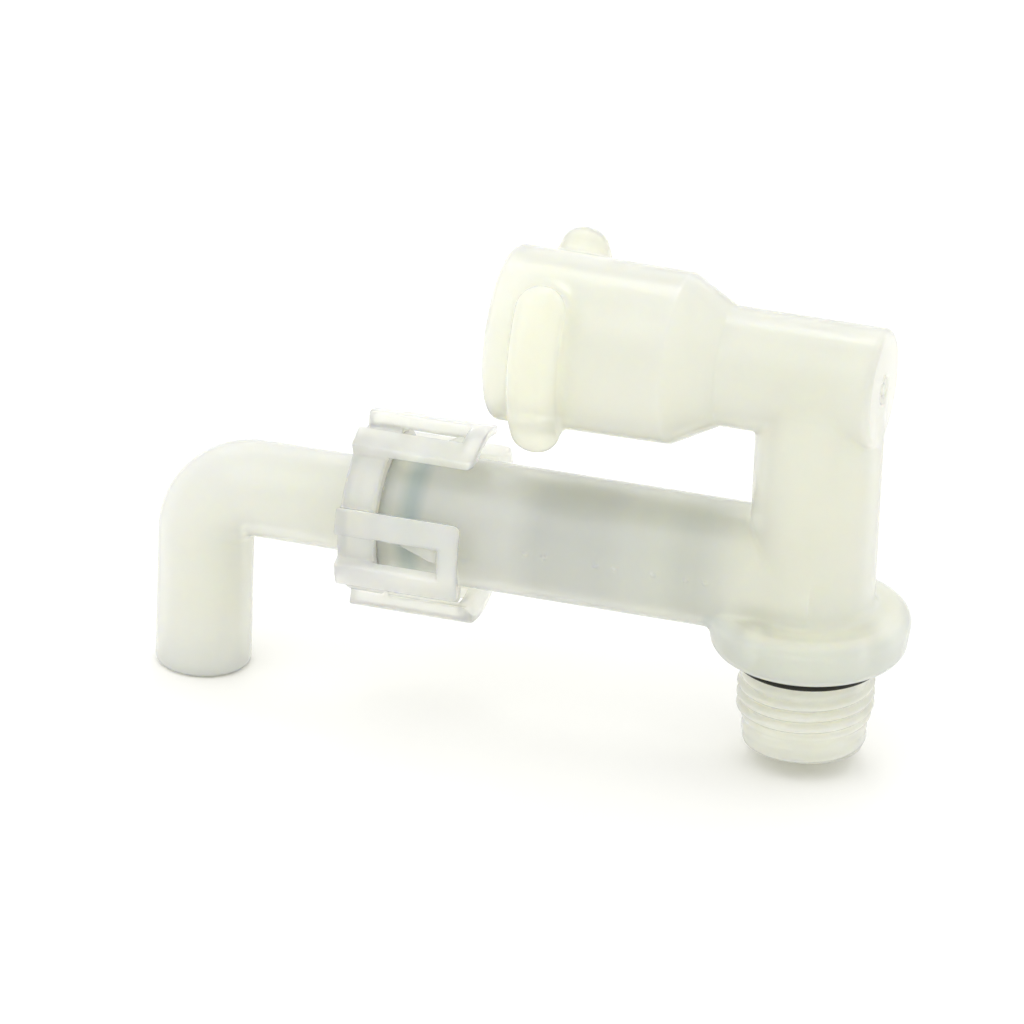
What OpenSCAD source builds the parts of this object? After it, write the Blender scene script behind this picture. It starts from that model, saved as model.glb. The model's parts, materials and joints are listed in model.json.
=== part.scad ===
// Non-return inlet fitting for a water tank, moulded in natural plastic.
// A threaded spigot screws into the tank wall and seals on an O-ring under the flange.
// A side branch holds two check-valve cartridges in line, a snap cage holds a hose
// elbow in the branch's mouth, and a larger socket with two lugs faces the same way
// above the branch. Origin: centre of the flange's underside. +Z up, tubes run to -X.

/* [Threaded spigot] */
// Major diameter of the spigot's G1/2 thread
thread_d = 20.955; // [20.8:0.005:21]
// Distance from one thread crest to the next
thread_pitch = 1.814; // [1.6:0.002:2]
// Number of thread crests
thread_crests = 5; // [3:1:5]
// Diameter of the thread's root
thread_root_d = 18.631; // [18.2:0.001:19]
// Diameter of the plain pilot below the thread
pilot_d = 18.7; // [18:0.1:19.4]
// Length of the spigot below the flange
spigot_len = 14.2; // [13.4:0.1:18]
// Bore of the spigot, the riser and the upper tube
waterway_d = 14; // [10:0.5:14.5]

/* [Flange] */
// Diameter of the flange
flange_d = 30.5; // [28:0.5:36]
// Thickness of the flange
flange_t = 7.7; // [6:0.1:9]
// Radius of the flange's lower edge
flange_low_round = 2.6; // [1:0.1:3]
// Radius of the flange's upper edge
flange_top_round = 2.2; // [1:0.1:2.5]

/* [Riser and upper tube] */
// Diameter of the upright riser tube
riser_d = 19.2; // [18.4:0.1:20]
// Height of the upper tube's axis
upper_z = 44.6; // [42:0.1:60]
// Diameter of the upper tube
upper_d = 18.2; // [17.5:0.1:19]
// Distance of the closed end's face from the riser's axis
closed_end_x = 9.4; // [9.2:0.1:14]
// Distance of the cone's small end from the riser's axis
cone_start_x = 15.4; // [12:0.1:18]
// Length of the cone
cone_len = 7; // [5:0.1:9]
// Diameter of the socket next to the cone
socket_d = 25.9; // [25:0.1:27]
// Diameter of the socket at its mouth
socket_mouth_d = 26.6; // [25.5:0.1:28]
// Distance of the socket's mouth from the riser's axis
socket_mouth_x = 48.7; // [45:0.1:56]
// Bore of the socket
socket_bore_d = 22; // [20:0.1:22.4]

/* [Lugs] */
// Distance of the lugs' middle from the riser's axis
lug_x = 40.5; // [36:0.1:43]
// Width of a lug along the socket
lug_w = 7.5; // [4:0.1:8]
// Distance between the outer faces of the two lugs
lug_span = 36.8; // [32:0.1:40]
// Angle between the middles of a lug's round ends
lug_angle = 78; // [50:1:80]

/* [Branch] */
// Height of the branch's axis above the flange's underside
branch_z = 12.1; // [11.6:0.1:14]
// Outer diameter of the branch
branch_d = 19.5; // [19:0.1:20]
// Bore of the branch
branch_bore_d = 15.6; // [15.6:0.1:15.8]
// Distance of the branch's mouth from the riser's axis
branch_mouth_x = 65.3; // [65.3:0.1:66]

/* [Snap cage] */
// Diameter over the cage's arms
cage_d = 30.2; // [29.6:0.1:32]
// Diameter of the cage's ring
cage_ring_d = 25.6; // [25.2:0.1:26]
// Length of the cage
cage_len = 19.4; // [19:0.1:20]
// Thickness of an arm
arm_t = 2.2; // [1.6:0.1:2.3]
// Angle that an arm takes up
arm_angle = 52; // [40:1:60]
// Angle that an arm's window takes up
window_angle = 19; // [14:1:24]
// How far the cage is turned on its barbs
cage_turn = 3; // [-3:0.5:3]

/* [Hose elbow] */
// Outer diameter of the elbow and its hose spigot
elbow_d = 14.7; // [14:0.1:14.8]
// Bore of the elbow
elbow_bore_d = 10; // [8:0.1:10.4]
// Radius of the bend's centre line
bend_r = 8.3; // [7.8:0.1:14]
// Distance of the hose spigot's axis from the riser's axis
leg_x = 95.1; // [90:0.1:110]
// How far the hose spigot reaches below the flange's underside
leg_drop = 17.9; // [10:0.1:40]

/* [Check valves] */
// How far a poppet lifts off its seat
poppet_lift = 2.4; // [1.5:0.1:2.6]
// Wire diameter of the poppet springs
spring_wire_d = 0.4; // [0.3:0.05:0.45]
// Number of coils in a poppet spring
spring_coils = 4.5; // [3.5:0.5:5]

/* [Hidden] */
$fn = 96;

natural = [0.93, 0.94, 0.87];
clear_natural = [0.90, 0.92, 0.90];
grey = [0.42, 0.45, 0.46];
acetal = [0.90, 0.91, 0.88];
rubber = [0.10, 0.10, 0.09];
silicone = [0.60, 0.61, 0.59];
red_rubber = [0.30, 0.16, 0.12];
steel = [0.72, 0.72, 0.74];

eps = 0.01;
base_ring_w = 2;
base_neck_r = 9.5;
seat_recess_r = 11.75;
seat_recess_h = 0.4;
crest_flat = 0.5;
rim_round = 0.9;
closed_round = 1.2;
lug_round = 2.4;
closed_wall = 2.2;
gate_ring_r = 2.2;
gate_dot_r = 0.9;
gate_depth = 0.4;
mouth_chamfer = 0.8;

thread_top = base_ring_w + 0.2;
thread_end = thread_top + thread_crests * thread_pitch - 0.6;

// Axial stations on the branch, measured from the riser's axis towards -X.
bore_step_x = 13.3;
cartridge_len = 14.4;
outlet_check_x = bore_step_x + 0.2 + cartridge_len;
inlet_check_x = outlet_check_x + 0.1 + cartridge_len;
sleeve_len = 14;
plug_end_x = 57;
elbow_ring_x = 60;
elbow_ring_w = 2.6;
collar_r = 9.7;
collar_t = 2.5;
collar_x = branch_mouth_x + 0.3;
bend_z = branch_z - bend_r;

cage_left_x = collar_x + collar_t + 2.3;
cage_right_x = cage_left_x - cage_len;
ring_len = 5.4;
window_left_x = cage_left_x - ring_len - 1;
window_right_x = cage_right_x + 3.3;
barb_end_x = window_right_x + 0.4;
barb_start_x = window_left_x - 0.5;
barb_angle = 10;
barb_h = 3.9;

pip_places = [42, 39, 31, 28, 22, 17, 14];
pip_angle = 6;
pip_r = 0.45;

// Cartridge stations, measured downstream from the cartridge's inlet face.
cart_r = 7.72;
cart_bore_r = 6.5;
seat_flange_t = 1.2;
cart_groove_w = 2;
cart_groove_r = 6.1;
housing_s = seat_flange_t + cart_groove_w;
seat_end_s = 5.2;
seat_bore_r = 4;
lip_h = 0.3;
seal_s = seat_end_s + lip_h + 0.05;
seal_t = 0.95;
head_s = seal_s + seal_t;
head_t = 1.2;
head_r = 5.3;
hub_r = 2.2;
seal_bore_r = hub_r + 0.05;
retainer_r = 3;
stem_r = 1.25;
stem_end_s = 12.6;
boss_r = 2.4;
boss_s = 11;
spider_s = 12.6;
spring_r = 3.1;
spring_steps = 16;
wire_sides = 6;

// Places children, drawn about +Z, on the branch's axis with +Z turned to +X.
module on_branch(x) {
    translate([-x, 0, branch_z])
        rotate([0, 90, 0])
            children();
}

// The same on the upper tube's axis.
module on_upper(x) {
    translate([-x, 0, upper_z])
        rotate([0, 90, 0])
            children();
}

// Solid disc about +Z with rounded edges, standing on Z = 0.
module round_disc(r, h, low, top) {
    rotate_extrude() {
        translate([r - low, low])
            intersection() {
                circle(low);
                translate([0, -low])
                    square([low, low]);
            }
        translate([r - top, h - top])
            intersection() {
                circle(top);
                square([top, top]);
            }
        translate([0, low])
            square([r, h - top - low]);
        square([r - low, h - top]);
        translate([0, low])
            square([r - top, h - low]);
    }
}

// O-ring squeezed flat between an inner and an outer radius, centred on Z = 0.
module squeezed_ring(r_in, r_out, section_r) {
    mid = (r_in + r_out) / 2;
    rotate_extrude()
        intersection() {
            translate([mid, 0])
                circle(section_r, $fn = 48);
            translate([r_in, -section_r])
                square([r_out - r_in, 2 * section_r]);
        }
}

// Flat ring about +Z.
module tube(r_out, r_in, h) {
    difference() {
        cylinder(r = r_out, h = h);
        translate([0, 0, -1])
            cylinder(r = r_in, h = h + 2);
    }
}

// ---- Valve body -------------------------------------------------------------

// Thread crests: rings at the thread's pitch, each with a flat land at full diameter.
module thread_crests() {
    crest_r = thread_d / 2;
    root_r = thread_root_d / 2;
    half = thread_pitch / 2 - 0.08;
    for (i = [0 : thread_crests - 1]) {
        z = -(thread_top + 0.75 + i * thread_pitch);
        translate([0, 0, z])
            rotate_extrude()
                polygon([[root_r - 1, -half], [root_r, -half], [crest_r, -crest_flat / 2],
                    [crest_r, crest_flat / 2], [root_r, half], [root_r - 1, half]]);
    }
}

module spigot() {
    translate([0, 0, -thread_end])
        cylinder(r = base_neck_r, h = thread_end + 1);
    translate([0, 0, -spigot_len])
        round_disc(pilot_d / 2, spigot_len - 1, 0.8, 0.4);
    thread_crests();
}

module riser() {
    shoulder = 3;
    cylinder(d = riser_d, h = upper_z - shoulder);
    translate([0, 0, upper_z - shoulder])
        cylinder(d1 = riser_d, d2 = upper_d, h = shoulder);
}

module upper_tube() {
    length = cone_start_x + closed_end_x;
    on_upper(cone_start_x)
        round_disc(upper_d / 2, length, eps, closed_round);
}

module socket() {
    cone_end_x = cone_start_x + cone_len;
    on_upper(cone_end_x)
        cylinder(d1 = socket_d, d2 = upper_d, h = cone_len);
    rim_x = socket_mouth_x - rim_round;
    on_upper(rim_x)
        cylinder(d1 = socket_mouth_d, d2 = socket_d, h = rim_x - cone_end_x);
    on_upper(socket_mouth_x)
        round_disc(socket_mouth_d / 2, rim_round + eps, rim_round, eps / 2);
}

// Profile of a lug across its width: from inside the socket's wall, with round shoulders.
module lug_profile(width, reach) {
    inner = socket_d / 2 - 1;
    side = reach - lug_round;
    translate([inner, -width / 2 + lug_round])
        square([reach - inner, width - 2 * lug_round]);
    translate([inner, -width / 2])
        square([side - inner, width]);
    for (end = [-1, 1])
        translate([side, end * (width / 2 - lug_round)])
            circle(lug_round);
}

// Two lugs, each a band round the socket that ends in round knobs.
module lugs() {
    reach = lug_span / 2;
    knob_r = lug_w / 2 + 0.04;
    for (side = [90, 270])
        on_upper(lug_x)
            rotate([0, 0, side]) {
                rotate([0, 0, -lug_angle / 2])
                    rotate_extrude(angle = lug_angle)
                        lug_profile(lug_w, reach);
                for (end = [-1, 1])
                    rotate([0, 0, end * lug_angle / 2])
                        rotate([0, 90, 0])
                            round_disc(knob_r, reach + 0.06, eps, lug_round);
            }
}

// Wedge-shaped barbs that the cage's windows snap over.
module barbs() {
    r0 = branch_d / 2;
    for (turn = [0 : 90 : 270])
        on_branch(0)
            rotate([0, 0, turn - barb_angle / 2])
                rotate_extrude(angle = barb_angle)
                    polygon([[r0 - 0.5, -barb_start_x], [r0 + barb_h, -barb_end_x - 0.8],
                        [r0 + barb_h, -barb_end_x], [r0 - 0.5, -barb_end_x]]);
}

// A row of small moulded pips along the front of the branch.
module pips() {
    r = branch_d / 2;
    for (x = pip_places)
        translate([-x, -r * cos(pip_angle), branch_z + r * sin(pip_angle)])
            sphere(r = pip_r, $fn = 24);
}

module body_outside() {
    spigot();
    round_disc(flange_d / 2, flange_t, flange_low_round, flange_top_round);
    riser();
    upper_tube();
    socket();
    lugs();
    on_branch(branch_mouth_x)
        cylinder(d = branch_d, h = branch_mouth_x);
    barbs();
    pips();
}

module waterway() {
    bore_r = waterway_d / 2;
    translate([0, 0, -spigot_len - 1])
        cylinder(r = bore_r, h = spigot_len + 1 + upper_z);
    blind_x = closed_end_x - closed_wall;
    on_upper(cone_start_x + 1)
        cylinder(r = bore_r, h = cone_start_x + 1 + blind_x);
    on_upper(cone_start_x + cone_len)
        cylinder(r1 = socket_bore_d / 2, r2 = bore_r, h = cone_len - 0.5);
    on_upper(socket_mouth_x + 1)
        cylinder(d = socket_bore_d, h = socket_mouth_x + 1 - cone_start_x - cone_len + eps);
    on_upper(socket_mouth_x + eps)
        cylinder(d1 = socket_bore_d + 2 * mouth_chamfer, d2 = socket_bore_d, h = 1);
    // Branch: cartridge bore, then a smaller bore behind the step that stops the cartridges.
    on_branch(branch_mouth_x + 1)
        cylinder(d = branch_bore_d, h = branch_mouth_x + 1 - bore_step_x);
    on_branch(bore_step_x + 1)
        cylinder(r = cart_bore_r, h = bore_step_x + 1);
    on_branch(branch_mouth_x + eps)
        cylinder(d1 = branch_bore_d + 1.2, d2 = branch_bore_d, h = 0.8);
}

// Shallow recess under the flange, which centres the O-ring.
module seat_recess() {
    translate([0, 0, -1])
        tube(seat_recess_r, base_neck_r, 1 + seat_recess_h);
}

// Shallow moulding gate mark in the closed end.
module gate_mark() {
    on_upper(-closed_end_x + gate_depth)
        tube(gate_ring_r, gate_dot_r, 1);
}

module valve_body()
    color(natural)
        difference() {
            body_outside();
            waterway();
            seat_recess();
            gate_mark();
        }

module base_o_ring()
    color(rubber)
        translate([0, 0, seat_recess_h - base_ring_w / 2])
            rotate_extrude()
                translate([base_neck_r + 0.02 + base_ring_w / 2, 0])
                    circle(d = base_ring_w - 0.02, $fn = 48);

// ---- Snap cage --------------------------------------------------------------

module cage_ring() {
    r = cage_ring_d / 2;
    on_branch(cage_left_x)
        difference() {
            round_disc(r, ring_len, 0.8, 0.3);
            translate([0, 0, -1])
                cylinder(d = elbow_d + 0.7, h = ring_len + 2);
            translate([0, 0, 2])
                cylinder(r = collar_r + 0.3, h = ring_len);
        }
}

// One arm: a curved plate with a rounded root and a tip chamfered inside.
module cage_arm() {
    r1 = cage_d / 2;
    r0 = r1 - arm_t;
    soft = 0.5;
    tip = 1.2;
    rotate([0, 0, -arm_angle / 2])
        rotate_extrude(angle = arm_angle)
            polygon([[r0 - 0.6, 0], [r1 - soft, 0], [r1, soft], [r1, cage_len - soft],
                [r1 - soft, cage_len], [r1 - arm_t + tip, cage_len], [r0, cage_len - tip],
                [r0, ring_len], [r0 - 0.6, ring_len]]);
}

// Window through an arm, and the shallow channel that runs from it over the ring.
module arm_window() {
    r1 = cage_d / 2;
    rotate([0, 0, -window_angle / 2])
        rotate_extrude(angle = window_angle) {
            translate([r1 - arm_t - 2, cage_left_x - window_left_x])
                square([arm_t + 4, window_left_x - window_right_x]);
            translate([cage_ring_d / 2, -1])
                square([arm_t + 4, cage_left_x - window_left_x + 2]);
        }
}

module snap_cage()
    color(clear_natural)
        difference() {
            union() {
                cage_ring();
                translate([0, 0, branch_z])
                    rotate([cage_turn, 0, 0])
                        translate([-cage_left_x, 0, 0])
                            rotate([0, 90, 0])
                                for (turn = [0 : 90 : 270])
                                    rotate([0, 0, turn])
                                        cage_arm();
            }
            translate([0, 0, branch_z])
                rotate([cage_turn, 0, 0])
                    translate([-cage_left_x, 0, 0])
                        rotate([0, 90, 0])
                            for (turn = [0 : 90 : 270])
                                rotate([0, 0, turn])
                                    arm_window();
        }

// ---- Hose elbow -------------------------------------------------------------

// A tube's run from start_x on the branch's axis, round the bend.
module elbow_path(r, start_x) {
    bend_x = leg_x - bend_r;
    on_branch(bend_x)
        cylinder(r = r, h = bend_x - start_x);
    translate([-bend_x, 0, bend_z])
        rotate([90, 0, 0])
            rotate([0, 0, 90])
                rotate_extrude(angle = 90)
                    translate([bend_r, 0])
                        circle(r);
}

module elbow_leg()
    translate([-leg_x, 0, -leg_drop])
        round_disc(elbow_d / 2, bend_z + leg_drop, 0.7, eps);

module elbow_plug() {
    plug_r = branch_bore_d / 2 - 0.1;
    groove_depth = 1.7;
    on_branch(collar_x)
        difference() {
            round_disc(plug_r, collar_x - plug_end_x, 0.1, 0.7);
            translate([0, 0, collar_x - elbow_ring_x - elbow_ring_w / 2])
                tube(plug_r + 1, plug_r - groove_depth, elbow_ring_w);
        }
    on_branch(collar_x + collar_t)
        round_disc(collar_r, collar_t, 0.4, 0.2);
}

module hose_elbow()
    color(natural)
        difference() {
            union() {
                elbow_path(elbow_d / 2, collar_x);
                elbow_leg();
                elbow_plug();
            }
            elbow_path(elbow_bore_d / 2, plug_end_x - 1);
            translate([-leg_x, 0, -leg_drop - 1])
                cylinder(d = elbow_bore_d, h = leg_drop + 1 + bend_z);
        }

module elbow_o_ring()
    color(rubber)
        on_branch(elbow_ring_x)
            squeezed_ring(branch_bore_d / 2 - 1.78, branch_bore_d / 2 - 0.04, 1.05);

module spacer_sleeve()
    color(clear_natural)
        on_branch(inlet_check_x + 0.2 + sleeve_len)
            tube(cart_r, 6, sleeve_len);

// ---- Check-valve cartridges -------------------------------------------------

module check_seat(x)
    on_branch(x)
        difference() {
            union() {
                round_disc(cart_r, seat_flange_t, 0.3, 0.1);
                cylinder(r = cart_groove_r, h = housing_s + eps);
                translate([0, 0, housing_s])
                    cylinder(r = cart_bore_r - 0.05, h = seat_end_s - housing_s);
                translate([0, 0, seat_end_s - eps])
                    cylinder(r1 = seat_bore_r + 0.9, r2 = seat_bore_r + 0.5, h = lip_h + eps);
            }
            translate([0, 0, -1])
                cylinder(r = seat_bore_r, h = seat_end_s + 2);
            translate([0, 0, -eps])
                cylinder(r1 = seat_bore_r + 1.2, r2 = seat_bore_r, h = 1.2);
        }

// Shell with a spider of three ribs, whose boss guides the poppet's stem.
module check_housing(x) {
    shell_s = housing_s + 0.05;
    boss_len = cartridge_len - boss_s - 0.3;
    rib_len = cartridge_len - spider_s - 0.6;
    rib_w = 1.4;
    rib_start = (boss_r + stem_r) / 2;
    on_branch(x) {
        translate([0, 0, shell_s])
            tube(cart_r, cart_bore_r, cartridge_len - shell_s);
        translate([0, 0, boss_s])
            tube(boss_r, stem_r + 0.08, boss_len);
        for (turn = [0 : 120 : 240])
            rotate([0, 0, turn])
                translate([rib_start, -rib_w / 2, spider_s])
                    cube([cart_bore_r + 0.5 - rib_start, rib_w, rib_len]);
    }
}

module check_o_ring(x)
    on_branch(x - seat_flange_t - cart_groove_w / 2)
        squeezed_ring(cart_groove_r + 0.02, branch_bore_d / 2 - 0.03, 0.97);

module check_poppet(x)
    on_branch(x)
        rotate_extrude()
            polygon([[0, seal_s - 0.8], [retainer_r - 0.4, seal_s - 0.8],
                [retainer_r, seal_s - 0.4], [retainer_r, seal_s - 0.02],
                [hub_r, seal_s - 0.02], [hub_r, head_s], [head_r, head_s], [head_r, head_s + 0.8],
                [head_r - 0.4, head_s + head_t], [stem_r, head_s + head_t],
                [stem_r, stem_end_s - 0.3], [stem_r - 0.3, stem_end_s], [0, stem_end_s]]);

module check_seal(x)
    on_branch(x - seal_s)
        tube(head_r, seal_bore_r, seal_t - 0.03);

// Compression spring: a wire swept along a helix between the poppet and the spider.
function helix_point(t, h0, h1, k) =
    let (turn = 360 * spring_coils * t,
        a = 360 * k / wire_sides,
        r = spring_r + spring_wire_d / 2 * cos(a))
    [r * cos(turn), r * sin(turn), h0 + (h1 - h0) * t + spring_wire_d / 2 * sin(a)];

module check_spring(x) {
    rings = ceil(spring_coils * spring_steps);
    gap = spring_wire_d / 2 + 0.06;
    h0 = head_s + head_t + gap;
    h1 = spider_s - gap;
    points = [for (i = [0 : rings]) for (k = [0 : wire_sides - 1])
        helix_point(i / rings, h0, h1, k)];
    sides = [for (i = [0 : rings - 1]) for (k = [0 : wire_sides - 1])
        let (n = (k + 1) % wire_sides)
        [i * wire_sides + k, (i + 1) * wire_sides + k, (i + 1) * wire_sides + n,
            i * wire_sides + n]];
    start = [for (k = [0 : wire_sides - 1]) k];
    end = [for (k = [wire_sides - 1 : -1 : 0]) rings * wire_sides + k];
    on_branch(x)
        polyhedron(points, concat([start], sides, [end]));
}

module inlet_check_seat() color(grey) check_seat(inlet_check_x);
module inlet_check_housing() color(grey) check_housing(inlet_check_x);
module inlet_check_o_ring() color(silicone) check_o_ring(inlet_check_x);
module inlet_check_poppet() color(grey) check_poppet(inlet_check_x);
module inlet_check_seal() color(red_rubber) check_seal(inlet_check_x);
module inlet_check_spring() color(steel) check_spring(inlet_check_x);

module outlet_check_seat() color(acetal) check_seat(outlet_check_x);
module outlet_check_housing() color(acetal) check_housing(outlet_check_x);
module outlet_check_o_ring() color(silicone) check_o_ring(outlet_check_x);
module outlet_check_poppet() color(acetal) check_poppet(outlet_check_x);
module outlet_check_seal() color(red_rubber) check_seal(outlet_check_x);
module outlet_check_spring() color(steel) check_spring(outlet_check_x);

valve_body();
base_o_ring();
snap_cage();
hose_elbow();
elbow_o_ring();
spacer_sleeve();
inlet_check_seat();
inlet_check_housing();
inlet_check_o_ring();
inlet_check_poppet();
inlet_check_seal();
inlet_check_spring();
outlet_check_seat();
outlet_check_housing();
outlet_check_o_ring();
outlet_check_poppet();
outlet_check_seal();
outlet_check_spring();
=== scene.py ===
"""Looks of the tank inlet fitting: translucent mouldings, O-rings, check cartridges and springs.

The valve body and the snap cage are meshed from distance fields in millimetres, so that their
edges and roots are softly rounded, as a mould leaves them. Everything else is in metres, in the
CAD frame.
"""

import json
import math

import bmesh
import bpy
import numpy as np
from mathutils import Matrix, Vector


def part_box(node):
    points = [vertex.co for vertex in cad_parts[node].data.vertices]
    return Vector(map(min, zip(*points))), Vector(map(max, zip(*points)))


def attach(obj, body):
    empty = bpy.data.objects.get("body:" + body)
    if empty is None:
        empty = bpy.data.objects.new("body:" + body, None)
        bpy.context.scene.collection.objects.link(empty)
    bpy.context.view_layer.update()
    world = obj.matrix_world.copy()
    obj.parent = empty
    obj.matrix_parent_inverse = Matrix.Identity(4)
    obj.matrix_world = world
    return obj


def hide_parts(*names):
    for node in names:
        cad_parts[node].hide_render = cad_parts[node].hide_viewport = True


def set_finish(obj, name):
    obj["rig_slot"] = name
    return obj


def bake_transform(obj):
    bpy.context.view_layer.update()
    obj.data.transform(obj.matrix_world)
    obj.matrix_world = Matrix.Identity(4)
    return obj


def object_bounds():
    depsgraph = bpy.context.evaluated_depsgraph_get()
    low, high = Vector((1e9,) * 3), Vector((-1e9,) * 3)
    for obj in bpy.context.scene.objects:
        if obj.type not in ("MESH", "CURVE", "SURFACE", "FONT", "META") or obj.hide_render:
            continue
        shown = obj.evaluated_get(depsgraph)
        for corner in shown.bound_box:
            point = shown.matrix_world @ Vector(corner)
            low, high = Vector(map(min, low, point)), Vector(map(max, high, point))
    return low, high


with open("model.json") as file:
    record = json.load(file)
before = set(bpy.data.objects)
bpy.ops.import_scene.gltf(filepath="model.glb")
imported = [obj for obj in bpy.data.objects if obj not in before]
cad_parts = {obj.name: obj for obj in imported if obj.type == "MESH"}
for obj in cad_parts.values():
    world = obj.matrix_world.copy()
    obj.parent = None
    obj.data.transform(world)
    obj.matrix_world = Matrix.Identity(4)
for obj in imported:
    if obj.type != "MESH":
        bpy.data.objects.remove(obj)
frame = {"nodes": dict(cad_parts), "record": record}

import openvdb
from mathutils import Matrix, Vector

CAD_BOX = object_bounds()
MM = 0.001

# ---- Sizes of the mouldings, in millimetres ---------------------------------------------

# A turned outline that starts and ends at this radius, beyond its axis, is solid at the axis.
CORE = -5.0

# Heights of the branch's and the upper tube's axes
BRANCH_Z = 12.1
UPPER_Z = 44.6
BRANCH_R = 9.75
BRANCH_END_X = -65.3

THREAD_PITCH = 1.814
THREAD_CREST_R = 10.4775
THREAD_ROOT_R = 9.3155
THREAD_TOP_Z = -2.4
THREAD_END_Z = -11.0

LUG_X = -40.5
LUG_HALF_ANGLE = math.radians(39)
BARB_HALF_ANGLE = math.radians(5)

# A row of small pips along the branch, a little above its middle
PIP_PLACES = (-42, -39, -31, -28, -22, -17, -14)
PIP_RAISE = math.radians(6)
PIP_R = 0.45

CAGE_TURN = math.radians(3)
CAGE_OUTER_R = 15.1
CAGE_INNER_R = 12.9
CAGE_LEFT_X = -70.4
CAGE_RIGHT_X = -51.0
CAGE_RING_END_X = -65.0
ARM_HALF_ANGLE = math.radians(26)
WINDOW_HALF_ANGLE = math.radians(9.5)

# Painted shade of the inner parts seen through the branch's wall: its colour is darkened where the
# O-ring and the check cartridges behind it block the light. Columns: place along the branch, and
# painted shade.
CLEAR = (1.0, 1.0, 1.0)
# Painted shade: a bluish dark band where the black O-ring sits behind the wall
O_RING_PAINTED_SHADE = (0.66, 0.75, 0.81)
BETWEEN_CHECKS_PAINTED_SHADE = (0.96, 0.97, 0.95)
OUTLET_PAINTED_SHADE = (0.88, 0.89, 0.89)
PAINTED_SEE_THROUGH_SHADE = (
    (-63.0, CLEAR),
    (-61.0, O_RING_PAINTED_SHADE),
    (-60.0, O_RING_PAINTED_SHADE),
    (-58.0, CLEAR),
    (-45.0, CLEAR),
    # Painted shade of the grey inlet cartridge behind the wall
    (-40.5, (0.87, 0.88, 0.89)),
    (-30.5, (0.89, 0.90, 0.91)),
    (-26.5, BETWEEN_CHECKS_PAINTED_SHADE),
    (-21.5, BETWEEN_CHECKS_PAINTED_SHADE),
    (-18.0, OUTLET_PAINTED_SHADE),
    (-15.5, OUTLET_PAINTED_SHADE),
    (-11.0, CLEAR),
)
PAINTED_SHADE_R = 10.2
PAINTED_SHADE_EDGE = 0.4

# Painted shade: the thick flange is darkened in its colour between its core and its surroundings,
# and below its top. Each pair is where the painted shade is full and where it has faded out.
FLANGE_PAINTED_SHADE = (0.84, 0.87, 0.92)
FLANGE_CORE_R = (11.5, 10.5)
FLANGE_RIM_R = (16.0, 17.0)
FLANGE_TOP_Z = (6.5, 8.0)

# Nodes that are milkier than the other mouldings of their slot
MILKY_NODES = ("hose_elbow", "spacer_sleeve")


# ---- Distance fields ----------------------------------------------------------------------

class Field:
    """A block of space sampled on a grid, for working out distances to a solid."""

    def __init__(self, low, high, step):
        self.step = step
        self.low = low
        x, y, z = (np.arange(a, b + step, step, dtype=np.float32) for a, b in zip(low, high))
        self.x = x[:, None, None]
        self.y = y[None, :, None]
        self.z = z[None, None, :]
        self.shape = (len(x), len(y), len(z))

    def round_x(self, height):
        """Distance of each point from a line along X at this height."""
        return np.hypot(self.y, self.z - height)

    def round_z(self):
        """Distance of each point from the Z axis."""
        return np.hypot(self.x, self.y)

    def beside_quarters(self, height, half_angle):
        """Distance from four equal sectors about a line along X, negative inside them."""
        angle = np.arctan2(self.z - height, self.y)
        from_quarter = np.mod(angle + math.pi / 4, math.pi / 2) - math.pi / 4
        return self.round_x(height) * np.sin(np.abs(from_quarter) - half_angle)


def outline_distance(outline, px, py):
    """Signed distance of each point to a closed outline, negative inside."""
    far = 1e9
    best = np.full(np.broadcast(px, py).shape, far, np.float32)
    inside = np.ones_like(best)
    for i, (ax, ay) in enumerate(outline):
        bx, by = outline[i - 1]
        ex, ey = bx - ax, by - ay
        wx, wy = px - ax, py - ay
        along = np.clip((wx * ex + wy * ey) / (ex * ex + ey * ey), 0, 1)
        best = np.minimum(best, (wx - ex * along) ** 2 + (wy - ey * along) ** 2)
        above, below, left = py >= ay, py < by, ex * wy > ey * wx
        crossed = (above & below & left) | ~(above | below | left)
        inside = np.where(crossed, -inside, inside)
    return inside * np.sqrt(best)


def revolved(field, axis, height, outline, rounding=0.0):
    """Distance to a solid turned about X (at a height) or Z, from (along, radius) points."""
    along = (field.x if axis == "X" else field.z).ravel()
    across = (field.round_x(height) if axis == "X" else field.round_z()).squeeze()
    spacing = 0.1
    radii = np.arange(0, across.max() + spacing, spacing, dtype=np.float32)
    rows = outline_distance(outline, along[:, None], radii[None, :]) - rounding
    out = np.empty(field.shape, np.float32)
    for i, row in enumerate(rows):
        layer = np.interp(across, radii, row)
        if axis == "X":
            out[i] = layer
        else:
            out[:, :, i] = layer
    return out


def join(a, b, fillet):
    """Union of two solids, with a soft fillet where they meet."""
    near = np.maximum(fillet - np.abs(a - b), 0) / fillet
    return np.minimum(a, b) - near * near * fillet / 4


def cut(a, b, soften):
    """Solid a less solid b, with a softened rim."""
    return -join(-a, b, soften)


def common(a, b, soften):
    """What two solids share, with softened edges."""
    return -join(-a, -b, soften)


def meshed(name, field, distance):
    """A mesh of a distance field's zero surface, in metres."""
    reach = 1.0
    grid = openvdb.FloatGrid(reach)
    grid.copyFromArray(np.clip(distance, -reach, reach).astype(np.float32))
    grid.transform = openvdb.createLinearTransform(voxelSize=field.step)
    points, quads = grid.convertToQuads()
    points = (points + np.array(field.low)) * MM
    mesh = bpy.data.meshes.new(name)
    mesh.from_pydata(points.tolist(), [], quads.tolist())
    mesh.validate()
    mesh.shade_smooth()
    obj = bpy.data.objects.new(name, mesh)
    bpy.context.scene.collection.objects.link(obj)
    return obj


# ---- Valve body ---------------------------------------------------------------------------

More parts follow.
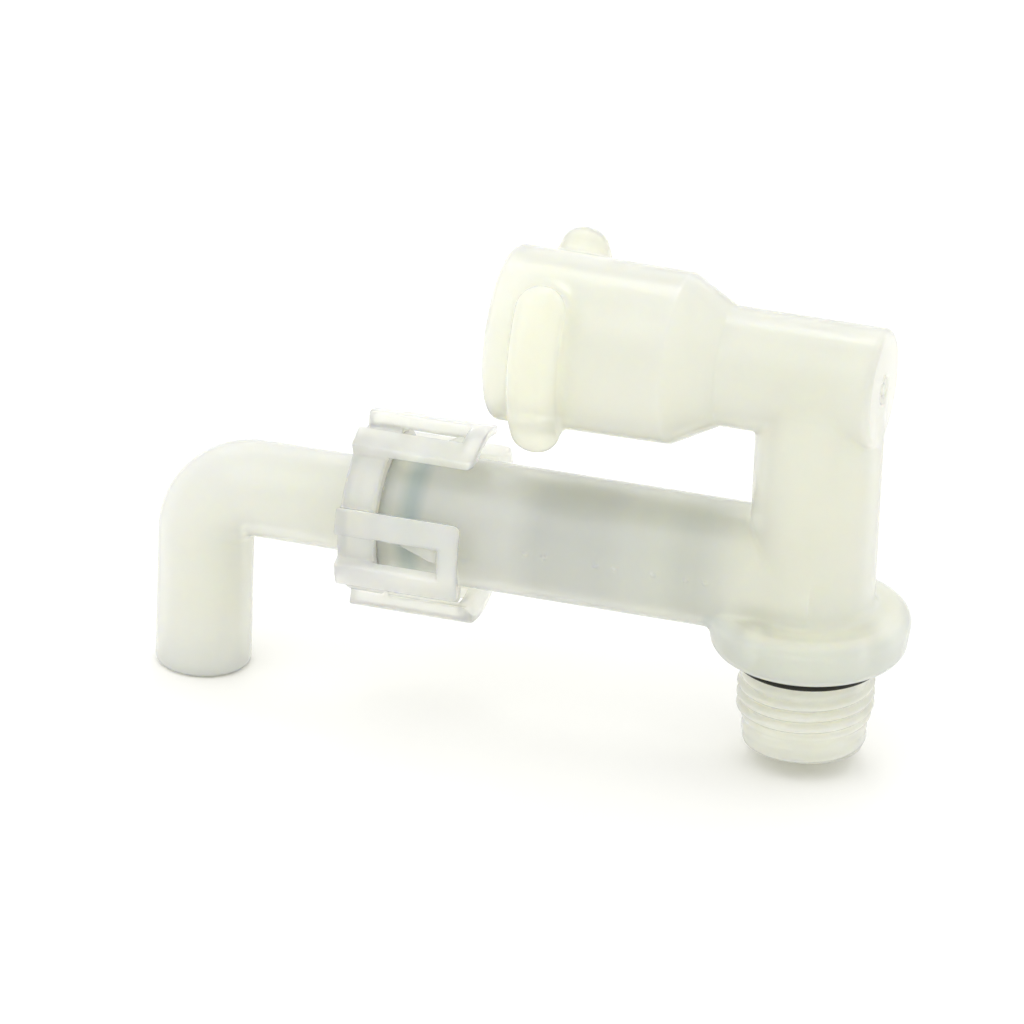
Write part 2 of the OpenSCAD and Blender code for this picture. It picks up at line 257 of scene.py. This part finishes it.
def riser(field):
    """The upright tube, which narrows a little where the upper tube crosses it."""
    root, radius, top_r = -4, 9.6, 9.1
    narrowing = UPPER_Z - 3
    return revolved(field, "Z", 0, [
        (root, CORE), (root, radius), (narrowing, radius), (UPPER_Z, top_r), (UPPER_Z, CORE)])


def spigot(field):
    """The plain core under the thread, with a rounded pilot at its end."""
    end, step, pilot_r, core_r = -13.4, -11.6, 8.55, 8.5
    core = revolved(field, "Z", 0, [
        (end, CORE), (end, pilot_r), (step, pilot_r), (step, core_r), (0, core_r), (0, CORE)], 0.8)
    return np.maximum(core, field.z)


def flange(field):
    """A round flange with a full rim and a flat under side."""
    low, low_r = 2.6, 12.65
    rim, rim_r = 5.5, 13.05
    top = 5.1
    disc = revolved(field, "Z", 0, [(low, CORE), (low, low_r), (rim, rim_r), (top, CORE)], 2.2)
    return np.maximum(disc, -field.z)


def upper_tube(field):
    """The tube with a closed right end, which opens through a cone into the socket."""
    closed_end, tube_r = 8.2, 7.9
    cone_start, cone_end, cone_r = -14.8, -21.9, 11.75
    socket_end, socket_r = -47.8, 12.1
    return revolved(field, "X", UPPER_Z, [
        (closed_end, CORE), (closed_end, tube_r), (cone_start, tube_r), (cone_end, cone_r),
        (socket_end, socket_r), (socket_end, CORE)], 1.2)


def branch(field):
    """The lower tube, from inside the riser to its open mouth."""
    start = 2
    return revolved(field, "X", BRANCH_Z, [
        (start, CORE), (start, BRANCH_R), (BRANCH_END_X, BRANCH_R), (BRANCH_END_X, CORE)])


def lugs(field):
    """Two rounded bands beside the socket, with round ends."""
    reach, half_width, shoulder = 18.4, 3.75, 3.0
    side = np.abs(field.y)
    up = field.z - UPPER_Z
    angle = np.clip(np.arctan2(up, side), -LUG_HALF_ANGLE, LUG_HALF_ANGLE)
    outward = side * np.cos(angle) + up * np.sin(angle)
    along = up * np.cos(angle) - side * np.sin(angle)
    flat = np.hypot(field.x - LUG_X, along) - (half_width - shoulder)
    tall = outward - (reach - shoulder)
    corner = np.hypot(np.maximum(flat, 0), np.maximum(tall, 0))
    return corner + np.minimum(np.maximum(flat, tall), 0) - shoulder


def barbs(field):
    """Four wedges that the snap cage's windows hook over."""
    ramp_start, ramp_top, back = -63.4, -55.7, -54.9
    inner_r, top_r = 9.0, 13.45
    wedge = revolved(field, "X", BRANCH_Z, [
        (ramp_start, inner_r), (ramp_top, top_r), (back, top_r), (back, inner_r)], 0.15)
    return common(wedge, field.beside_quarters(BRANCH_Z, BARB_HALF_ANGLE), 0.4)


def thread(field):
    """A G1/2 thread: one helical ridge that runs out at both ends."""
    rho = field.round_z()
    turn = np.arctan2(field.y, field.x) / (2 * math.pi)
    phase = np.mod(field.z / THREAD_PITCH - turn, 1)
    from_crest = np.abs(phase - 0.5) * THREAD_PITCH
    flank_slope, peak_over_crest = 1.92, 0.5
    to_end = np.minimum(THREAD_TOP_Z - field.z, field.z - THREAD_END_Z)
    run_out = (THREAD_CREST_R - THREAD_ROOT_R) * (1 - np.clip(to_end / THREAD_PITCH, 0, 1))
    ridge_r = THREAD_CREST_R + peak_over_crest - from_crest * flank_slope - run_out
    flanks = (rho - ridge_r) / math.hypot(1, flank_slope)
    crest = rho - (THREAD_CREST_R - run_out)
    return np.maximum(common(flanks, crest, 0.5), field.z)


def pip(field, x):
    """A small round bump on the branch's side."""
    y = -BRANCH_R * math.cos(PIP_RAISE)
    z = BRANCH_Z + BRANCH_R * math.sin(PIP_RAISE)
    return np.sqrt((field.x - x) ** 2 + (field.y - y) ** 2 + (field.z - z) ** 2) - PIP_R


def hollow(field):
    """The waterway, the upper tube's bore with its socket, and the branch's stepped bore."""
    low, water_r = -15.5, 7
    waterway = revolved(field, "Z", 0, [
        (low, CORE), (low, water_r), (UPPER_Z, water_r), (UPPER_Z, CORE)])

    closed_end, cone_start, cone_end = 7.2, -15.9, -22.4
    socket_r, rim_r = 11, 11.8
    chamfer_start, chamfer_end, past_rim = -47.7, -48.7, -50
    upper_bore = revolved(field, "X", UPPER_Z, [
        (closed_end, CORE), (closed_end, water_r), (cone_start, water_r), (cone_end, socket_r),
        (chamfer_start, socket_r), (chamfer_end, rim_r), (past_rim, rim_r), (past_rim, CORE)])

    step, narrow_r, check_r, mouth_r = -13.3, 6.5, 7.8, 8.4
    mouth_chamfer, past_mouth = -64.7, -67
    branch_bore = revolved(field, "X", BRANCH_Z, [
        (0, CORE), (0, narrow_r), (step, narrow_r), (step, check_r), (mouth_chamfer, check_r),
        (BRANCH_END_X, mouth_r), (past_mouth, mouth_r), (past_mouth, CORE)])
    return np.minimum(np.minimum(waterway, upper_bore), branch_bore)


def o_ring_recess(field):
    """The groove under the flange that seats the base O-ring."""
    below, depth, inner_r, outer_r = -1, 0.4, 9.5, 11.75
    return revolved(field, "Z", 0, [
        (below, inner_r), (below, outer_r), (depth, outer_r), (depth, inner_r)])


def gate_ring(field):
    """A shallow ring in the upper tube's closed end, where the mould was filled."""
    bottom, outside, inner_r, outer_r = 9.0, 10, 0.9, 2.2
    return revolved(field, "X", UPPER_Z, [
        (bottom, inner_r), (bottom, outer_r), (outside, outer_r), (outside, inner_r)])


def body_distance(field):
    """The whole valve body. The number in each join is the fillet where the two meet."""
    solid = join(riser(field), flange(field), 2.4)
    solid = join(solid, branch(field), 0.9)
    solid = join(solid, upper_tube(field), 0.5)
    solid = join(solid, lugs(field), 2.6)
    solid = join(solid, barbs(field), 0.3)
    solid = np.minimum(solid, spigot(field))
    solid = join(solid, thread(field), 0.7)
    for x in PIP_PLACES:
        solid = join(solid, pip(field, x), 0.15)
    solid = cut(solid, hollow(field), 0.3)
    solid = cut(solid, o_ring_recess(field), 0.2)
    return cut(solid, gate_ring(field), 0.2)


def make_valve_body():
    low, high, step = (-66, -19, -15), (16, 19, 59), 0.28
    field = Field(low, high, step)
    body = meshed("valve_body_moulding", field, body_distance(field))
    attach(body, "fitting")
    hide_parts("valve_body")
    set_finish(body, "natural_plastic")
    return body


# ---- Snap cage ----------------------------------------------------------------------------

def cage_arms(field):
    """Four arms with rounded corners and a bevel inside their tips."""
    rounding, root_r, tip_thinning, bevel, corner = 0.3, 12.6, 1.3, 1.5, 1.3
    left, right = CAGE_LEFT_X + rounding, CAGE_RIGHT_X - rounding
    inner, outer = CAGE_INNER_R + rounding, CAGE_OUTER_R - rounding
    bevel_r, bevel_start = CAGE_INNER_R + tip_thinning, CAGE_RIGHT_X - bevel
    shell = revolved(field, "X", 0, [
        (left, root_r), (left, outer), (right, outer), (right, bevel_r), (bevel_start, inner),
        (CAGE_RING_END_X, inner), (CAGE_RING_END_X, root_r)], rounding)
    side = field.beside_quarters(0, ARM_HALF_ANGLE)
    past_side = np.maximum(side + corner, 0)
    past_tip = np.maximum(field.x - CAGE_RIGHT_X + corner, 0)
    rounded_tip = np.hypot(past_side, past_tip) - corner
    return common(common(shell, side, 0.5), rounded_tip, 0.3)


def cage_ring(field):
    """The ring that holds the elbow's collar against the branch's mouth."""
    rounding, lip_r, ring_r, bore_r, lip_end = 0.5, 8.2, 12.3, 10.5, -68.9
    left, right = CAGE_LEFT_X + rounding, CAGE_RING_END_X - rounding
    return revolved(field, "X", 0, [
        (left, lip_r), (left, ring_r), (right, ring_r), (right, bore_r),
        (lip_end, bore_r), (lip_end, lip_r)], rounding)


def cage_distance(field):
    """The cage about its own axis, before it is turned on the barbs."""
    solid = join(cage_ring(field), cage_arms(field), 0.4)
    rho = field.round_x(0)
    beside_window = field.beside_quarters(0, WINDOW_HALF_ANGLE)

    middle, half_length, window_r = -59.15, 4.85, 11.5
    window = np.maximum(np.abs(field.x - middle) - half_length, beside_window)
    window = np.maximum(window, window_r - rho)

    channel_end, channel_r = -63, 12.8
    channel = np.maximum(np.maximum(field.x - channel_end, beside_window), channel_r - rho)
    return cut(cut(solid, window, 0.5), channel, 0.4)


def make_snap_cage():
    low, high, step = (-71, -15.6, -15.6), (-50.4, 15.6, 15.6), 0.2
    field = Field(low, high, step)
    cage = meshed("snap_cage_moulding", field, cage_distance(field))
    for v in cage.data.vertices:
        y, z = v.co.y, v.co.z
        v.co.y = y * math.cos(CAGE_TURN) - z * math.sin(CAGE_TURN)
        v.co.z = y * math.sin(CAGE_TURN) + z * math.cos(CAGE_TURN) + BRANCH_Z * MM
    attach(cage, "fitting")
    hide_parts("snap_cage")
    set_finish(cage, "clear_plastic")
    return cage


# ---- Springs ------------------------------------------------------------------------------

def make_spring(side):
    """A round-wire compression spring with closed end coils, from the poppet to its spider."""
    wire_r, coil_r, turns, closed = 0.2, 3.1, 4.5, 0.75
    steps, sides = 40, 10
    low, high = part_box(f"{side}_check_spring")
    start = low.x / MM + wire_r
    end = high.x / MM - wire_r
    closed_pitch = 2 * wire_r
    open_pitch = (end - start - 2 * closed * closed_pitch) / (turns - 2 * closed)
    mesh = bmesh.new()
    loops = []
    for i in range(int(turns * steps) + 1):
        turned = i / steps
        tight = min(turned, closed) + max(turned - turns + closed, 0)
        x = start + closed_pitch * tight + open_pitch * (turned - tight)
        a = 2 * math.pi * turned
        out = Vector((0, math.cos(a), math.sin(a)))
        centre = Vector((x, 0, BRANCH_Z)) + out * coil_r
        loop = []
        for k in range(sides):
            b = 2 * math.pi * k / sides
            point = centre + out * (wire_r * math.cos(b)) + Vector((wire_r * math.sin(b), 0, 0))
            loop.append(mesh.verts.new(point * MM))
        loops.append(loop)
    for a, b in zip(loops, loops[1:]):
        for k in range(sides):
            n = (k + 1) % sides
            mesh.faces.new((a[k], a[n], b[n], b[k]))
    mesh.faces.new(loops[0][::-1])
    mesh.faces.new(loops[-1])
    bmesh.ops.recalc_face_normals(mesh, faces=mesh.faces)
    data = bpy.data.meshes.new(f"{side}_spring_coil")
    mesh.to_mesh(data)
    mesh.free()
    data.shade_smooth()
    coil = bpy.data.objects.new(f"{side}_spring_coil", data)
    bpy.context.scene.collection.objects.link(coil)
    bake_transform(coil)
    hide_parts(f"{side}_check_spring")
    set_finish(coil, "spring_steel")
    return coil


# ---- Materials ----------------------------------------------------------------------------

# The Mix node's colour sockets, which share their names with its number and vector sockets
MIX_A, MIX_B, MIX_RESULT = 6, 7, 2


def adder(tree):
    """A helper that adds a node with its settings to a tree."""
    def add(kind, **values):
        node = tree.nodes.new(kind)
        for key, value in values.items():
            if hasattr(node, key):
                setattr(node, key, value)
            else:
                node.inputs[key.replace("_", " ").title()].default_value = value
        return node

    return add


def new_material(name):
    """A material with its node tree, its Principled shader and a helper that adds nodes."""
    mat = bpy.data.materials.new(name)
    mat.use_nodes = True
    tree = mat.node_tree
    return mat, tree, tree.nodes["Principled BSDF"], adder(tree)


def noise(tree, add, scale):
    """A noise pattern in the object's own space, with cells about 1/scale metres wide."""
    place = add("ShaderNodeTexCoord")
    pattern = add("ShaderNodeTexNoise", scale=scale, detail=3.0)
    tree.links.new(place.outputs["Object"], pattern.inputs["Vector"])
    return pattern


def varied_colour(tree, add, shader, pattern, dark, light):
    """Base colour that drifts between two shades with a pattern."""
    ramp = add("ShaderNodeValToRGB")
    stops = ramp.color_ramp.elements
    for stop, position, colour in zip(stops, (0.3, 0.7), (dark, light)):
        stop.position = position
        stop.color = (*colour, 1)
    tree.links.new(pattern.outputs["Fac"], ramp.inputs["Fac"])
    tree.links.new(ramp.outputs["Color"], shader.inputs["Base Color"])


def varied_roughness(tree, add, shader, pattern, low, high):
    """Roughness that drifts between two values with a pattern."""
    spread = add("ShaderNodeMapRange")
    spread.inputs["To Min"].default_value = low
    spread.inputs["To Max"].default_value = high
    tree.links.new(pattern.outputs["Fac"], spread.inputs["Value"])
    tree.links.new(spread.outputs["Result"], shader.inputs["Roughness"])


def bumped(tree, add, shader, pattern, depth):
    """A fine grain, this many metres deep."""
    bump = add("ShaderNodeBump")
    bump.inputs["Strength"].default_value = 1.0
    bump.inputs["Distance"].default_value = depth
    tree.links.new(pattern.outputs["Fac"], bump.inputs["Height"])
    tree.links.new(bump.outputs["Normal"], shader.inputs["Normal"])


def from_axis(tree, add, place, centre, across):
    """Distance of each point from a line through a centre; across is 0 along the line, else 1."""
    shifted = add("ShaderNodeVectorMath", operation="SUBTRACT")
    shifted.inputs[1].default_value = centre
    flat = add("ShaderNodeVectorMath", operation="MULTIPLY")
    flat.inputs[1].default_value = across
    length = add("ShaderNodeVectorMath", operation="LENGTH")
    tree.links.new(place.outputs["Object"], shifted.inputs[0])
    tree.links.new(shifted.outputs["Vector"], flat.inputs[0])
    tree.links.new(flat.outputs["Vector"], length.inputs[0])
    return length.outputs["Value"]


def fading(tree, add, value, full, none):
    """A share that is 1 where a length is at full millimetres, and runs smoothly to 0 at none."""
    share = add("ShaderNodeMapRange", interpolation_type="SMOOTHSTEP")
    share.inputs["From Min"].default_value = none * MM
    share.inputs["From Max"].default_value = full * MM
    tree.links.new(value, share.inputs["Value"])
    return share.outputs["Result"]


def both(tree, add, a, b):
    """The product of two shares: 1 only where both are 1."""
    product = add("ShaderNodeMath", operation="MULTIPLY")
    tree.links.new(a, product.inputs[0])
    tree.links.new(b, product.inputs[1])
    return product.outputs["Value"]


def multiplied(tree, add, shader, share, tint):
    """Multiplies the shader's base colour by a tint, a colour or a socket, where the share is 1."""
    mix = add("ShaderNodeMix", data_type="RGBA", blend_type="MULTIPLY")
    base = shader.inputs["Base Color"]
    tree.links.new(share, mix.inputs["Factor"])
    tree.links.new(base.links[0].from_socket, mix.inputs[MIX_A])
    if isinstance(tint, tuple):
        mix.inputs[MIX_B].default_value = (*tint, 1)
    else:
        tree.links.new(tint, mix.inputs[MIX_B])
    tree.links.new(mix.outputs[MIX_RESULT], base)


def painted_see_through_shade(tree, add, along_x):
    """The painted see-through shade of the branch's wall at each place along it."""
    first, last = PAINTED_SEE_THROUGH_SHADE[0][0], PAINTED_SEE_THROUGH_SHADE[-1][0]
    along = add("ShaderNodeMapRange")
    along.inputs["From Min"].default_value = first * MM
    along.inputs["From Max"].default_value = last * MM
    tree.links.new(along_x, along.inputs["Value"])
    ramp = add("ShaderNodeValToRGB")
    stops = ramp.color_ramp.elements
    for _ in range(len(PAINTED_SEE_THROUGH_SHADE) - len(stops)):
        stops.new(1.0)
    for stop, (x, tint) in zip(stops, PAINTED_SEE_THROUGH_SHADE):
        stop.position = (x - first) / (last - first)
        stop.color = (*tint, 1)
    tree.links.new(along.outputs["Result"], ramp.inputs["Fac"])
    return ramp.outputs["Color"]


def paint_body_shade(mat):
    """Painted shade in the body's colour: where the inner parts block the light through the
    branch's wall, and in the thick flange below its top.
    """
    tree = mat.node_tree
    shader = tree.nodes["Principled BSDF"]
    add = adder(tree)
    place = add("ShaderNodeTexCoord")
    axes = add("ShaderNodeSeparateXYZ")
    tree.links.new(place.outputs["Object"], axes.inputs["Vector"])

    # Painted shade: the branch's wall is darkened where the inner parts behind it block the light
    off_branch = from_axis(tree, add, place, (0, 0, BRANCH_Z * MM), (0, 1, 1))
    in_painted_wall_shade = fading(tree, add, off_branch, PAINTED_SHADE_R, PAINTED_SHADE_R + PAINTED_SHADE_EDGE)
    multiplied(tree, add, shader, in_painted_wall_shade, painted_see_through_shade(tree, add, axes.outputs["X"]))

    # Painted shade: the thick flange is darkened below its top
    off_riser = from_axis(tree, add, place, (0, 0, 0), (1, 1, 0))
    outside_core = fading(tree, add, off_riser, *FLANGE_CORE_R)
    within_rim = fading(tree, add, off_riser, *FLANGE_RIM_R)
    under_top = fading(tree, add, axes.outputs["Z"], *FLANGE_TOP_Z)
    in_flange_shade = both(tree, add, both(tree, add, outside_core, under_top), within_rim)
    multiplied(tree, add, shader, in_flange_shade, FLANGE_PAINTED_SHADE)


def plastic(name, dark, light, clear, haze):
    """Translucent moulded plastic: light scatters in it, and a share passes through, blurred.

    The low index keeps hazy walls from darkening at their edges; the thin coat gives the sheen.
    """
    shade_scale, gloss_scale, grain_scale, grain_depth = 60.0, 220.0, 1500.0, 2e-6
    mat, tree, shader, add = new_material(name)
    shader.inputs["IOR"].default_value = 1.1
    shader.inputs["Specular IOR Level"].default_value = 1.0
    shader.inputs["Subsurface Weight"].default_value = 1.0
    shader.inputs["Subsurface Radius"].default_value = (1.0, 0.9, 0.6)
    shader.inputs["Subsurface Scale"].default_value = 6 * MM
    shader.inputs["Transmission Weight"].default_value = clear
    shader.inputs["Coat Weight"].default_value = 1.0
    shader.inputs["Coat Roughness"].default_value = 0.22
    varied_colour(tree, add, shader, noise(tree, add, shade_scale), dark, light)
    varied_roughness(tree, add, shader, noise(tree, add, gloss_scale), haze - 0.04, haze + 0.05)
    bumped(tree, add, shader, noise(tree, add, grain_scale), grain_depth)
    return mat


def solid_finish(name, dark, light, roughness, metal=0.0, shine=0.5):
    """An opaque finish: rubber, solid plastic or steel."""
    shade_scale, gloss_scale, grain_scale, grain_depth = 400.0, 900.0, 2500.0, 4e-6
    smoothest, roughest = roughness - 0.06, roughness + 0.06
    mat, tree, shader, add = new_material(name)
    shader.inputs["Metallic"].default_value = metal
    shader.inputs["Specular IOR Level"].default_value = shine
    varied_colour(tree, add, shader, noise(tree, add, shade_scale), dark, light)
    varied_roughness(tree, add, shader, noise(tree, add, gloss_scale), smoothest, roughest)
    bumped(tree, add, shader, noise(tree, add, grain_scale), grain_depth)
    return mat


def make_materials():
    """Every finish: its dark and light shades, then how clear and hazy or how rough it is."""
    natural = plastic("natural_plastic", (0.865, 0.87, 0.76), (0.905, 0.91, 0.81), 0.45, 0.55)
    # Painted shade is multiplied into the body's colour: the inner parts seen through the branch's
    # wall, and the thick flange
    paint_body_shade(natural)
    return {
        "natural_plastic": natural,
        "clear_plastic": plastic(
            "clear_plastic", (0.93, 0.935, 0.87), (0.95, 0.955, 0.90), 0.64, 0.55),
        "milky_plastic": plastic(
            "milky_plastic", (0.88, 0.885, 0.78), (0.92, 0.925, 0.83), 0.4, 0.5),
        "black_rubber": solid_finish(
            "black_rubber", (0.010, 0.010, 0.007), (0.018, 0.018, 0.013), 0.5, shine=0.15),
        "grey_rubber": solid_finish(
            "grey_rubber", (0.44, 0.45, 0.44), (0.50, 0.51, 0.50), 0.45),
        "grey_plastic": solid_finish(
            "grey_plastic", (0.40, 0.42, 0.44), (0.46, 0.48, 0.50), 0.42),
        "white_plastic": solid_finish(
            "white_plastic", (0.66, 0.69, 0.66), (0.72, 0.75, 0.71), 0.42),
        "seal_rubber": solid_finish(
            "seal_rubber", (0.10, 0.04, 0.03), (0.14, 0.06, 0.045), 0.55),
        "spring_steel": solid_finish(
            "spring_steel", (0.52, 0.52, 0.54), (0.64, 0.64, 0.66), 0.28, metal=1.0),
    }


def paint(materials, made):
    """Gives every CAD node and every new piece the finish of its material slot."""
    for row in frame["record"]["subparts"]:
        node = frame["nodes"][row["node"]]
        finish = "milky_plastic" if row["node"] in MILKY_NODES else row["material_slot"]
        node.data.materials.clear()
        node.data.materials.append(materials[finish])
    for obj in made:
        obj.data.materials.append(materials[obj["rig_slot"]])


# ---- Stage, light and camera --------------------------------------------------------------

FLOOR_GAP = 0.0002
FLOOR_HALF_WIDTH = 3.0

WORLD_BRIGHTNESS = 1.11
LIT_POINT = (-0.04, 0, 0.02)
# Name, place, width and power of each lamp
LAMPS = (
    ("key_softbox", (-0.35, -0.45, 0.75), 0.6, 0.8),
    ("right_softbox", (0.60, -0.05, 0.55), 0.6, 0.25),
    ("back_softbox", (-0.10, 0.45, 0.85), 0.3, 0.9),
)


def make_stage():
    """A wide floor just under the fitting's lowest point."""
    shade_scale, roughness = 8.0, 0.9
    z = CAD_BOX[0].z - FLOOR_GAP
    half = FLOOR_HALF_WIDTH
    mesh = bpy.data.meshes.new("floor")
    corners = [(-half, -half, z), (half, -half, z), (half, half, z), (-half, half, z)]
    mesh.from_pydata(corners, [], [(0, 1, 2, 3)])
    floor = bpy.data.objects.new("floor", mesh)
    bpy.context.scene.collection.objects.link(floor)
    mat, tree, shader, add = new_material("pale_floor")
    shader.inputs["Roughness"].default_value = roughness
    dark, light = (0.97, 0.965, 0.945), (0.98, 0.975, 0.955)
    varied_colour(tree, add, shader, noise(tree, add, shade_scale), dark, light)
    mesh.materials.append(mat)


def make_light():
    """A bright white surround, with three weak soft boxes aimed at the fitting."""
    scene = bpy.context.scene
    world = bpy.data.worlds.new("studio")
    world.use_nodes = True
    back = world.node_tree.nodes["Background"]
    back.inputs["Color"].default_value = (1.0, 1.0, 1.0, 1)
    back.inputs["Strength"].default_value = WORLD_BRIGHTNESS
    scene.world = world
    scene.view_settings.view_transform = "Standard"
    for name, place, width, power in LAMPS:
        data = bpy.data.lights.new(name, "AREA")
        data.size = width
        data.energy = power
        lamp = bpy.data.objects.new(name, data)
        lamp.location = place
        aim = Vector(LIT_POINT) - Vector(place)
        lamp.rotation_mode = "QUATERNION"
        lamp.rotation_quaternion = aim.to_track_quat("-Z", "Y")
        scene.collection.objects.link(lamp)


def make_camera():
    """A long lens from the front right, above, with the fitting's origin right of the middle."""
    azimuth, elevation, roll = math.radians(15.7), math.radians(25.55), math.radians(2.26)
    distance, seen_width = 1.42, 0.1536
    origin_right, origin_down = 0.0444, 0.0207
    sensor_width, far = 36, 20
    back = Vector((
        math.sin(azimuth) * math.cos(elevation),
        -math.cos(azimuth) * math.cos(elevation),
        math.sin(elevation)))
    level = Vector((math.cos(azimuth), math.sin(azimuth), 0))
    upright = back.cross(level)
    right = level * math.cos(roll) + upright * math.sin(roll)
    up = upright * math.cos(roll) - level * math.sin(roll)
    data = bpy.data.cameras.new("camera")
    data.sensor_width = sensor_width
    data.lens = sensor_width * distance / seen_width
    data.clip_end = far
    camera = bpy.data.objects.new("camera", data)
    camera.location = back * distance - right * origin_right + up * origin_down
    camera.rotation_mode = "QUATERNION"
    camera.rotation_quaternion = Matrix((right, up, back)).transposed().to_quaternion()
    bpy.context.scene.collection.objects.link(camera)
    bpy.context.scene.camera = camera


make_camera()
make_stage()
make_light()
pieces = [make_valve_body(), make_snap_cage(), make_spring("inlet"), make_spring("outlet")]
paint(make_materials(), pieces)
